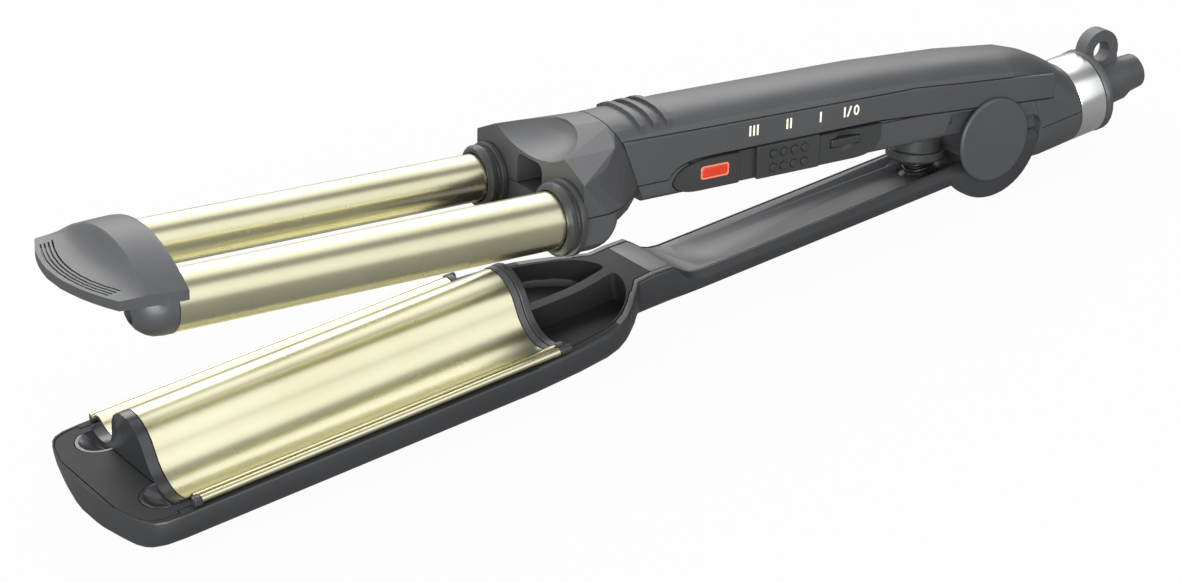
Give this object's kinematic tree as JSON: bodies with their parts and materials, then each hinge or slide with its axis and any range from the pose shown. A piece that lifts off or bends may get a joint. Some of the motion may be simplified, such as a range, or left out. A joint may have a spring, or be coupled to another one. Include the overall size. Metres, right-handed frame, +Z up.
{
  "type": "hair waver",
  "caption": "Double-barrel hair waver, open: two heated barrels over a wave plate, hinged and sprung handle, side switch panel, swivel cord cap.",
  "frame": {"origin": "Middle of the footprint, on the surface that the open tool lies on.", "axes": "+X towards the cord end, -X towards the cool tip, -Y is the side with the switches, +Z up."},
  "size_m": [0.3648, 0.0642, 0.0785],
  "materials": {
    "graphite_plastic": "fine satin texture",
    "black_plastic": "satin",
    "gloss_black_plastic": "polished",
    "champagne_metal": "satin champagne coating",
    "heater_block": "as extruded",
    "heat_resin": "matte",
    "steel": "plated",
    "chrome": "mirror",
    "brass": "turned",
    "red_lens": "clear red",
    "circuit_board": "solder mask"
  },
  "bodies": {
    "lower_arm": {"lower_shell": "graphite_plastic", "jaw_cover": "black_plastic", "arm_inlay": "graphite_plastic", "wave_plate": "champagne_metal", "plate_tip_saddle": "gloss_black_plastic", "plate_rear_strip": "graphite_plastic", "plate_bulkhead": "black_plastic", "edge_rod_near": "champagne_metal", "edge_rod_far": "champagne_metal", "rod_clip_near": "black_plastic", "rod_clip_far": "black_plastic", "plate_heater": "heater_block", "plate_carrier": "heat_resin", "hinge_pin": "steel", "hinge_cap_near": "graphite_plastic", "hinge_cap_far": "graphite_plastic", "spring_seat_lower": "black_plastic", "opening_spring": "steel", "jaw_screw_1": "steel", "jaw_screw_2": "steel", "jaw_screw_3": "steel", "jaw_screw_4": "steel"},
    "upper_arm": {"handle_top_shell": "graphite_plastic", "handle_bottom_shell": "graphite_plastic", "side_band_near": "graphite_plastic", "side_band_far": "graphite_plastic", "holder_upper": "graphite_plastic", "holder_lower": "graphite_plastic", "barrel_near": "champagne_metal", "barrel_far": "champagne_metal", "collar_near": "black_plastic", "collar_far": "black_plastic", "barrel_heater_near": "heater_block", "barrel_heater_far": "heater_block", "tip_cap": "graphite_plastic", "switch_panel": "black_plastic", "indicator_lens": "red_lens", "spring_seat_upper": "black_plastic", "hinge_bush_near": "brass", "hinge_bush_far": "brass", "control_board": "circuit_board", "slide_switch": "steel", "push_switch": "steel", "indicator_lamp": "heat_resin", "handle_screw_1": "steel", "handle_screw_2": "steel", "tail_band": "chrome", "contact_carrier": "heat_resin"},
    "slide": {"temperature_slide": "black_plastic"},
    "button": {"power_button": "black_plastic"},
    "swivel": {"swivel_cap": "graphite_plastic", "slip_ring_1": "brass", "slip_ring_2": "brass"}
  },
  "joints": [
    {"name": "arm_hinge", "type": "hinge", "parent": "lower_arm", "child": "upper_arm", "pos_m": [0.11367, 0, 0.0185], "axis": [0, 1, 0], "range_deg": [-9, 0], "stiffness_Nm_per_rad": 1.2, "springref_deg": 22.92, "deforming": ["opening_spring"]},
    {"name": "temperature_slide", "type": "slide", "parent": "upper_arm", "child": "slide", "axis": [-0.9905, 0, 0.1374], "range_m": [0, 0.0056]},
    {"name": "power_button", "type": "slide", "parent": "upper_arm", "child": "button", "axis": [0, 1, 0], "range_m": [0, 0.001], "stiffness_N_per_m": 800, "springref_m": -0.0006},
    {"name": "cord_swivel", "type": "hinge", "parent": "upper_arm", "child": "swivel", "pos_m": [0.16373, 0, 0.01546], "axis": [0.9998, 0, 0.0192], "continuous": true}
  ]
}
